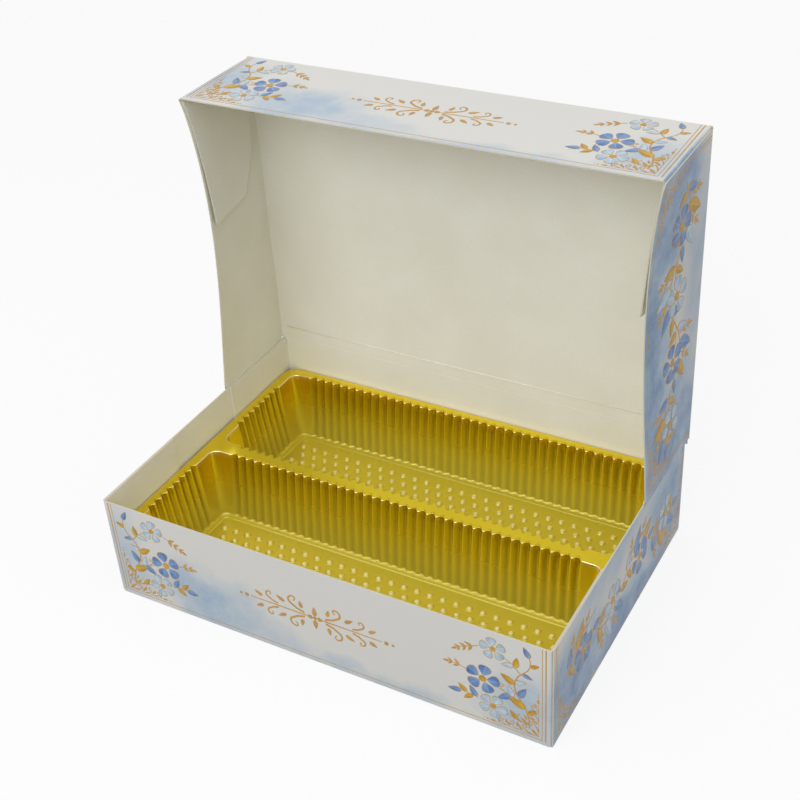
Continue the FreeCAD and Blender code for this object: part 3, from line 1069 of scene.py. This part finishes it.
def draw_line(design, start, heading, runs, width, end_width=None):
    """A gold line of arcs and straight runs that tapers to its end width."""
    bm = bmesh.new()
    begin = Vector((*start, 0))
    middle = begin.copy()
    across = toward(heading + 90) * width / 2
    ends = [bm.verts.new(middle + across), bm.verts.new(middle - across)]
    tip = [*ends, bm.edges.new(ends)]
    for length, turn in runs:
        if turn:
            centre = middle + toward(heading + 90) * length / math.radians(turn)
            tip = bmesh.ops.spin(bm, geom=tip, cent=centre, axis=(0, 0, 1), angle=math.radians(turn),
                                 steps=max(2, math.ceil(abs(turn) / ARC_STEP)))["geom_last"]
        else:
            edges = [item for item in tip if isinstance(item, bmesh.types.BMEdge)]
            drawn = bmesh.ops.extrude_edge_only(bm, edges=edges)["geom"]
            moved = [item for item in drawn if isinstance(item, bmesh.types.BMVert)]
            bmesh.ops.translate(bm, vec=toward(heading) * length, verts=moved)
            tip = moved + [edge for edge in bm.edges if all(vertex in moved for vertex in edge.verts)]
        middle += along(start, heading, [(length, turn)], length)[0].to_3d() - begin
        heading += turn
    bm.verts.ensure_lookup_table()
    steps = len(bm.verts) // 2
    for step in range(steps):
        pair = bm.verts[2 * step:2 * step + 2]
        centre = (pair[0].co + pair[1].co) / 2
        share = 1 + ((end_width or width) / width - 1) * step / (steps - 1)
        for vertex in pair:
            vertex.co = centre + (vertex.co - centre) * share
    design.add("line", bm)


def draw_arch(design, start, end, rise, width):
    """A gold arc from start to end that rises to the right of its way, or sinks if the rise is below zero."""
    chord = end - start
    turn = 4 * math.atan2(2 * rise, chord.length)
    length = abs(chord.length / 2 / math.sin(turn / 2) * turn)
    heading = math.degrees(math.atan2(chord.y, chord.x) - turn / 2)
    draw_line(design, start, heading, [(length, math.degrees(turn))], width)


def ink_layers(ink):
    """The layers of a shape and their margins: gold and, where it has an ink, colour a little inside it."""
    return [("leaf", 0.0)] + ([] if ink is None else [("colour", OUTLINE)])


def draw_leaf(design, base, heading, length, width, ink=None, round_tip=False):
    """A leaf or petal: a gold shape, and a little inside it the coloured one."""
    for layer, margin in ink_layers(ink):
        bm = bmesh.new()
        ring = bmesh.ops.create_circle(bm, cap_ends=True, segments=LEAF_SIDES, radius=1.0)["verts"]
        for vertex in ring:
            taper = -vertex.co.x if round_tip else vertex.co.x
            vertex.co.y *= LEAF_SWELL * math.sqrt(max(0.0, (1 - taper) / 2))
        leaf_map = bm.loops.layers.uv.new("UVMap")
        face = bm.faces[:][0]
        for loop in face.loops:
            loop[leaf_map].uv = (loop.vert.co.x / 2 + 0.5, loop.vert.co.y / 2 + 0.5)
        face.material_index = ink or 0
        bmesh.ops.translate(bm, vec=(1, 0, 0), verts=ring)
        bmesh.ops.scale(bm, vec=(length / 2 - margin, width / 2 - margin, 1), verts=ring)
        bmesh.ops.translate(bm, vec=(margin, 0, 0), verts=ring)
        bmesh.ops.transform(bm, matrix=at(*base, heading), verts=ring)
        design.add(layer, bm)


def draw_dot(design, x, y, radius, ink=None):
    """A gold dot, and a little inside it a coloured one."""
    for layer, margin in ink_layers(ink):
        bm = bmesh.new()
        bmesh.ops.create_circle(bm, cap_ends=True, segments=LEAF_SIDES, radius=radius - margin)
        bm.faces[:][0].material_index = ink or 0
        bmesh.ops.translate(bm, vec=(x, y, 0), verts=bm.verts[:])
        design.add(layer, bm)


def draw_blossom(design, place, heading, radius, ink):
    """A round blossom of five petals with an ochre heart."""
    for turn in range(0, 360, 360 // PETALS):
        foot = Vector(place) + toward(heading + turn).xy * radius * PETAL_FOOT
        draw_leaf(design, foot, heading + turn, radius * PETAL_LENGTH, radius * PETAL_WIDTH, ink, True)
    draw_dot(design, *place, radius * HEART, OCHRE)


def draw_spray(design, start, heading, runs, leaves, width):
    """A stem with leaves: each leaf is a distance, a turn off the stem, a length and an ink."""
    draw_line(design, start, heading, runs, width, width / 2)
    for distance, turn, length, ink in leaves:
        point, way = along(start, heading, runs, distance)
        draw_leaf(design, point, way + turn, length, length * LEAF_SHAPE, ink)


def draw_tendril(design, start, heading, way, size):
    """A thin curl that winds up to the left with way 1 and to the right with way -1."""
    runs = [(length * size, turn * way) for length, turn in TENDRIL]
    draw_line(design, start, heading, runs, 0.42, 0.22)
    draw_dot(design, *along(start, heading, runs, LINE_END)[0], 0.42)


def draw_sprig(design, start, heading, turn, pairs):
    """A thin gold twig with small gold leaves in pairs and one at its tip."""
    runs = [(SPRIG_STEP * pairs + SPRIG_TIP, turn)]
    draw_line(design, start, heading, runs, 0.5, 0.3)
    for pair in range(1, pairs + 1):
        point, way = along(start, heading, runs, SPRIG_STEP * pair)
        size = 4.4 - 1.6 * pair / pairs
        for side in (1, -1):
            draw_leaf(design, point, way + SPRIG_SPREAD * side, size, size * 0.42)
    draw_leaf(design, *along(start, heading, runs, LINE_END), 3.4, 1.4)


def branch_off(stem, distance, turn, runs):
    """A branch that leaves a stem at a distance along it, turned off its heading."""
    point, way = along(*stem, distance)
    return point, way + turn, runs


def branch_end(branch, beyond):
    """A point straight beyond the end of a branch."""
    point, way = along(*branch, LINE_END)
    return point + toward(way).xy * beyond


def branch_start(branch):
    """A point just clear of the stem that a branch springs from."""
    return Vector(branch[0]) + toward(branch[1]).xy * STEM_CLEAR


def corner_filigree():
    """Gold lacework in the corner of a border, along x and y from the corner."""
    half = Design()
    draw_line(half, (2.6, 0.7), 0, [(27, 0)], 0.5, 0.35)
    for x, size in ((4.6, 1.0), (13.4, 0.86), (21.0, 0.7)):
        scroll = ((x, 0.9), 8, [(length * size, turn) for length, turn in SCROLL])
        draw_line(half, *scroll, 0.9 * size, 0.5 * size)
        draw_dot(half, *along(*scroll, LINE_END)[0], 0.6 * size)
        draw_leaf(half, (x + 6.8 * size, 1.5), 58, 4.8 * size, 1.8 * size)
        draw_dot(half, x + 4.4 * size, 7.6 * size, 0.5 * size)
    for x, y, heading, length in ((14.2, 3.4, 84, 4.0), (21.6, 3.0, 84, 3.2), (11.8, 8.2, 28, 4.4),
                                  (28.4, 0.9, 4, 4.2)):
        draw_leaf(half, (x, y), heading, length, 1.6)
    draw_dot(half, 34.0, 0.9, 0.6)
    draw_dot(half, 36.0, 0.9, 0.4)
    design = Design()
    design.stamp(half, Matrix())
    design.stamp(half, Matrix(((0, 1, 0, 0), (1, 0, 0, 0), (0, 0, 1, 0), (0, 0, 0, 1))), HAIR_UNDER)
    draw_leaf(design, (1.9, 1.9), 45, 5.4, 2.4)
    draw_leaf(design, (8.4, 8.4), 45, 5.6, 2.2)
    draw_dot(design, 1.4, 1.4, 0.9)
    draw_dot(design, 13.6, 13.6, 0.6)
    return design


def end_creeper():
    """A climbing creeper for the left end of a front: three blossoms, leaves, gold sprigs and a tendril."""
    design = Design()
    stem = ((11, 8), 97, [(17, -45), (19, 88), (12, -75)])
    draw_spray(design, *stem, ((9, 66, 5.5, OCHRE), (12, -40, 9.5, OCHRE), (18.5, 60, 8, BLUE),
                               (26, -62, 8, OCHRE), (27.5, 62, 6, PALE), (35, 62, 5.5, BLUE),
                               (42, 52, 5, OCHRE), (47, -8, 6.5, BLUE)), 0.85)
    branch = branch_off(stem, 15, -32, [(13, -8)])
    draw_spray(design, *branch, ((5, 48, 7, PALE), (6, -55, 8, BLUE)), 0.6)
    draw_blossom(design, branch_end(branch, 7.4), 30, 8.6, BLUE)
    draw_sprig(design, branch_end(branch, 16), along(*branch, LINE_END)[1] + 6, -30, 2)
    draw_tendril(design, *along(*branch, 9), 1, 0.8)
    branch = branch_off(stem, 34, -74, [(11, -30)])
    draw_spray(design, *branch, ((4, 52, 6.5, OCHRE), (5, -55, 6.5, PALE)), 0.6)
    draw_blossom(design, branch_end(branch, 5.6), 10, 6.6, PALE)
    draw_sprig(design, branch_end(branch, 5.6) + Vector((7.0, -1.0)), -22, -10, 3)
    branch = branch_off(stem, 2, -84, [(12, 8)])
    draw_spray(design, *branch, ((6, 40, 6, OCHRE),), 0.6)
    draw_blossom(design, branch_end(branch, 6.2), 44, 7.2, PALE)
    draw_spray(design, branch_end(branch, 13.6), along(*stem, 2)[1] - 76, [(9, -20)],
               ((1, 48, 7, BLUE), (3, -50, 6, OCHRE), (6, 44, 6, OCHRE), (8.6, -4, 7, BLUE)), 0.5)
    return design


def running_creeper(waves):
    """A waving creeper along x round its own middle: a blossom in each hollow, leaves and twigs outside."""
    design = Design()
    run, swing = 30, 90
    half_wave = run * math.sin(math.radians(swing / 2)) / math.radians(swing / 2)
    inks = (BLUE, OCHRE, PALE, BLUE, OCHRE, BLUE)
    sides = [1 if wave % 2 == 0 else -1 for wave in range(waves)]
    stem = ((-half_wave * waves / 2, 0), swing / 2, [(run, -swing * side) for side in sides])
    leaves = []
    for wave, side in enumerate(sides):
        begin = run * wave
        for step, (distance, turn, length) in enumerate(
                ((4.5, 46, 8.5), (12, 54, 11.5), (20.5, 50, 10.5), (27, 44, 7), (23.5, -62, 8.5))):
            leaves.append((begin + distance, side * turn, length, inks[(wave + step) % len(inks)]))
        for distance, turn in ((8.5, 84), (16.5, 74)):
            point, way = along(*stem, begin + distance)
            draw_sprig(design, point, way + side * turn, -side * 24, 2)
        stalk = branch_off(stem, begin + 1.5, -side * 24, [(9, -side * 30)])
        draw_line(design, branch_start(stalk), *stalk[1:], 0.55, 0.45)
        draw_blossom(design, branch_end(stalk, 6.6), 20 + 15 * wave, 8.0, BLUE if side == 1 else PALE)
        point, way = along(*stalk, 3.5)
        draw_leaf(design, point, way - side * 62, 7, 3.4, OCHRE)
        curl = branch_off(stem, begin + 25, -side * 30, None)
        draw_tendril(design, branch_start(curl), curl[1], -side, 0.9)
    draw_spray(design, *stem, leaves, 0.9)
    return design


def divider():
    """A gold scroll ornament, mirrored about its jewel."""
    quarter = Design()
    draw_line(quarter, (4.4, 1.0), 8, SCROLL, 0.95, 0.5)
    draw_line(quarter, (15.6, 0.95), 8, SMALL_SCROLL, 0.8, 0.4)
    for x, y, heading, length in ((5.4, 2.8, 78, 3.4), (12.6, 3.0, 30, 4.2), (22.4, 2.2, 28, 3.6)):
        draw_leaf(quarter, (x, y), heading, length, 1.7)
    design = Design()
    for mirror in (False, True):
        for turn in (0, 180):
            design.stamp(quarter, at(0, 0, turn, mirror=mirror))
        way = -1 if mirror else 1
        draw_line(design, (3.6 * way, 0), 90 - 90 * way, [(24, 0)], 0.6, 0.4)
        draw_dot(design, 29.4 * way, 0, 0.9)
        draw_dot(design, 32.0 * way, 0, 0.6)
    for turn, length in ((90, 4.4), (270, 4.4), (0, 2.4), (180, 2.4)):
        draw_leaf(design, toward(turn).xy, turn, length, 2.0)
    draw_dot(design, 0, 0, 0.85)
    return design


# One quarter of the cartouche: start, end and rise of each arc
CARTOUCHE = (((54, 7), (45, 16), -2.2), ((45, 16), (33, 20.5), 3.2), ((33, 20.5), (20, 24), 3.2),
             ((20, 24), (0, 36), -2.6))
CARTOUCHE_LINE = 1.9


def cartouche():
    """A gold outline with cusps and scallops, bare within but for scrolls."""
    quarter = Design()
    for start, end, rise in (*CARTOUCHE, ((54, 0), (54, 7), -0.6)):
        draw_arch(quarter, Vector(start), Vector(end), rise, CARTOUCHE_LINE)
    for start, _, _ in CARTOUCHE:
        draw_dot(quarter, *start, CARTOUCHE_LINE / 2)
    design = Design()
    for mirror in (False, True):
        for turn in (0, 180):
            design.stamp(quarter, at(0, 0, turn, mirror=mirror), HAIR_UNDER if mirror else 1.0)
    scrolls = divider()
    design.stamp(scrolls, at(0, 13, 0, 0.8))
    design.stamp(scrolls, at(0, -13, 180, 0.8))
    return design


def draw_border(design, half_width, half_height, all_round):
    """Double gold lines up both ends and a line along the bottom; all round a top."""
    for line, (inset, width) in BORDER_LINES.items():
        left = -half_width + inset
        bottom = -half_height + (inset if all_round else FOOT_INSET)
        top = half_height - (inset if all_round else HEAD_INSET)
        for x in (left, -left):
            draw_line(design, (x, bottom - width / 2), 90, [(top - bottom + width, 0)], width)
        across = [bottom] if line == "inner" else []
        for y in (bottom, top) if all_round else across:
            draw_line(design, (left + width / 2, y), 0, [(-2 * left - width, 0)], width)


def panel_print(kind, half_width, half_height, motifs):
    """The whole print of a panel, in millimetres round its middle."""
    design = Design()
    top = kind == "top"
    draw_border(design, half_width, half_height, top)
    inset_x, inset_y, size = TOP_LACE if top else WALL_LACE
    for way, turn in ((-1, 0), (1, 180)) if top else ((-1, 0),):
        for mirror in (False, True):
            x = (half_width - inset_x) * (-way if mirror else way)
            y = (half_height - inset_y) * way
            design.stamp(motifs["filigree"], at(x, y, turn, size, mirror), UNDER)
    if top:
        design.stamp(motifs["cartouche"], Matrix())
        design.stamp(motifs["run"], at(RUN_INSET - half_width, 0, 90, MOTIF_SIZE))
        design.stamp(motifs["run"], at(half_width - RUN_INSET, 0, 270, MOTIF_SIZE))
    elif kind in ("left", "right"):
        design.stamp(motifs["run"], at(0, half_height * RUN_RISE, 0, MOTIF_SIZE))
    else:
        design.stamp(motifs["end"], at(-half_width, -half_height))
        design.stamp(motifs["end"], at(half_width, -half_height, mirror=True))
        design.stamp(motifs["divider"], at(0, 0, 0, MOTIF_SIZE))
    return design


class SWEETBOX_OT_print(bpy.types.Operator):
    """Print the panels: gold borders and scrolls, and creepers in watercolour"""
    bl_idname = "sweet_box.print"
    bl_label = "Panel prints"

    def execute(self, context):
        carton = context.scene.sweet_box_carton
        bows = {"lid_left": (-1, carton.bow_left), "lid_right": (1, carton.bow_right)}
        gold = gold_ink()
        colours = (watercolour("blue", "#2b5ca6", "#8cb2da"), watercolour("ochre", "#9c6c0e", "#e6ba38"),
                   watercolour("pale blue", "#8fb2cf", "#d8e5ec"))
        inks = {"line": (gold,), "leaf": (gold,), "colour": colours}
        motifs = {"filigree": corner_filigree(), "end": end_creeper(), "divider": divider(),
                  "cartouche": cartouche(), "run": running_creeper(4)}
        for panel, lay in PANELS.items():
            body, kind = panel.split("_")
            design = panel_print(kind, *[half / MM for half in lay["half"]], motifs)
            for layer, rise in INK_RISES.items():
                bm = design.layers[layer]
                lifted = lay["place"] @ Matrix.Translation((0, 0, rise - INK_FILM)) @ Matrix.Scale(MM, 4)
                bmesh.ops.transform(bm, matrix=lifted, verts=bm.verts[:])
                if panel in bows:
                    bend_sheet(bm, *bows[panel])
                name = panel + "_" + layer + "_print"
                piece = make_piece(bm, name, body, "printed_board", inks[layer], smooth=False)
                thicken(piece, INK_FILM, 1.0)
                piece.vertex_groups.new(name="film")
                piece.modifiers[0].vertex_group = "film"
                if panel in bows:
                    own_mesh(piece)
        return {"FINISHED"}


# Stage

# Each soft lamp's place, and its width and height, in metres
LAMPS = {"key": ((-0.1, -1.1, 0.85), (1.5, 0.8)), "top": ((0.3, -0.3, 1.3), (1.0, 1.0))}
LAMP_AIM = (0, 0, 0.08)
FLOOR_HALF = 4.0
SHOWN_WHITE = 0.85
SENSOR_WIDTH = 36.0
NEAREST = 0.01


class SWEETBOX_OT_stage(bpy.types.Operator):
    """Make the floor, the lamps, the white surround and the camera"""
    bl_idname = "sweet_box.stage"
    bl_label = "Stage"

    def execute(self, context):
        stage = context.scene.sweet_box_stage
        context.scene.view_settings.view_transform = "Standard"
        self.make_floor()
        self.make_world(stage.sky)
        self.make_lamp("key", stage.key_power)
        self.make_lamp("top", stage.top_power)
        self.make_camera(stage)
        return {"FINISHED"}

    def make_floor(self):
        """A pale floor of white paper that keeps the shadow but reads as white."""
        bm = bmesh.new()
        bmesh.ops.create_grid(bm, x_segments=1, y_segments=1, size=FLOOR_HALF)
        floor = add_object("floor", to_mesh(bm, "floor"))
        material, add, coordinates = new_material("white paper floor")
        # The paper's tooth, in grains about 5 mm wide
        tooth = add("TexNoise", {"Vector": coordinates["Object"], "Scale": 1 / (5 * MM), "Detail": 2.0})
        roughness = add("MapRange", {"Value": tooth, "To Min": 0.9, "To Max": 1.0})
        paper = add("BsdfPrincipled", {"Base Color": rgba("#7a7a7a"), "Roughness": roughness,
                                       "Specular IOR Level": 0.0})
        lit = add("BsdfDiffuse", {"Color": rgba("#f4f4f4")})
        white = add("Emission", {"Strength": 1.0})
        shown_paper = add("MixShader", {0: SHOWN_WHITE, 1: lit, 2: white})
        mix = add("MixShader", {0: self.shown_rays(add), 1: paper, 2: shown_paper})
        add("OutputMaterial", {"Surface": mix})
        floor.data.materials.append(material)

    def shown_rays(self, add):
        """One for rays that show the surround to the eye, in metal or through film, and else zero."""
        rays = add("LightPath").outputs
        seen = add("Math", {0: rays["Is Camera Ray"], 1: rays["Is Glossy Ray"]}, operation="MAXIMUM")
        return add("Math", {0: seen, 1: rays["Is Transmission Ray"]}, operation="MAXIMUM")

    def make_world(self, sky):
        """White to the eye and in reflections, and an even soft light for everything else."""
        world = bpy.data.worlds.new("studio")
        bpy.context.scene.world = world
        add = node_adder(world)
        strength = add("MapRange", {"Value": self.shown_rays(add), "To Min": sky, "To Max": 1.0})
        light = add("Background", {"Color": (1, 1, 1, 1), "Strength": strength})
        add("OutputWorld", {"Surface": light})

    def make_lamp(self, name, power):
        """A soft lamp aimed at the middle of the box."""
        place, size = LAMPS[name]
        lamp = bpy.data.lights.new(name + " lamp", "AREA")
        lamp.shape = "RECTANGLE"
        lamp.size, lamp.size_y = size
        lamp.energy = power
        holder = add_object(name + " lamp", lamp)
        holder.location = place
        aim = Vector(LAMP_AIM) - Vector(place)
        holder.rotation_euler = aim.to_track_quat("-Z", "Y").to_euler()

    def make_camera(self, stage):
        """The camera, at the box's photographed angle."""
        camera = bpy.data.cameras.new("camera")
        camera.lens = stage.lens
        camera.sensor_width = SENSOR_WIDTH
        camera.clip_start = NEAREST
        holder = add_object("camera", camera)
        level = math.cos(stage.elevation)
        back = Vector((math.sin(stage.azimuth) * level, -math.cos(stage.azimuth) * level,
                       math.sin(stage.elevation)))
        holder.location = Vector(stage.target) + back * stage.distance
        level_view = (-back).to_track_quat("-Z", "Y")
        holder.rotation_euler = (level_view @ Quaternion((0, 0, 1), stage.roll)).to_euler()
        bpy.context.scene.camera = holder


# Sidebar and registration

class SWEETBOX_PT_sidebar(bpy.types.Panel):
    """Sweet box steps and settings"""
    bl_idname = "SWEETBOX_PT_sidebar"
    bl_label = "Sweet box"
    bl_space_type = "VIEW_3D"
    bl_region_type = "UI"
    bl_category = "Sweet box"

    def draw(self, context):
        for step in STEPS:
            self.layout.operator(step.bl_idname)
        for group in SETTINGS:
            settings = getattr(context.scene, group)
            box = self.layout.box()
            for name in settings.bl_rna.properties.keys():
                if name not in ("rna_type", "name"):
                    box.prop(settings, name)


STEPS = (SWEETBOX_OT_board, SWEETBOX_OT_lid_sides, SWEETBOX_OT_tray, SWEETBOX_OT_print, SWEETBOX_OT_stage)
SETTINGS = {"sweet_box_carton": CartonSettings, "sweet_box_tray": TraySettings,
            "sweet_box_stage": StageSettings}


def register():
    for item in (*SETTINGS.values(), *STEPS, SWEETBOX_PT_sidebar):
        bpy.utils.register_class(item)
    for name, settings in SETTINGS.items():
        setattr(bpy.types.Scene, name, bpy.props.PointerProperty(type=settings))


def unregister():
    for name in SETTINGS:
        delattr(bpy.types.Scene, name)
    for item in (SWEETBOX_PT_sidebar, *reversed(STEPS), *SETTINGS.values()):
        bpy.utils.unregister_class(item)


def main():
    register()
    bpy.ops.sweet_box.board()
    bpy.ops.sweet_box.lid_sides()
    bpy.ops.sweet_box.tray()
    bpy.ops.sweet_box.print()
    bpy.ops.sweet_box.stage()


if __name__ == "__main__":
    main()
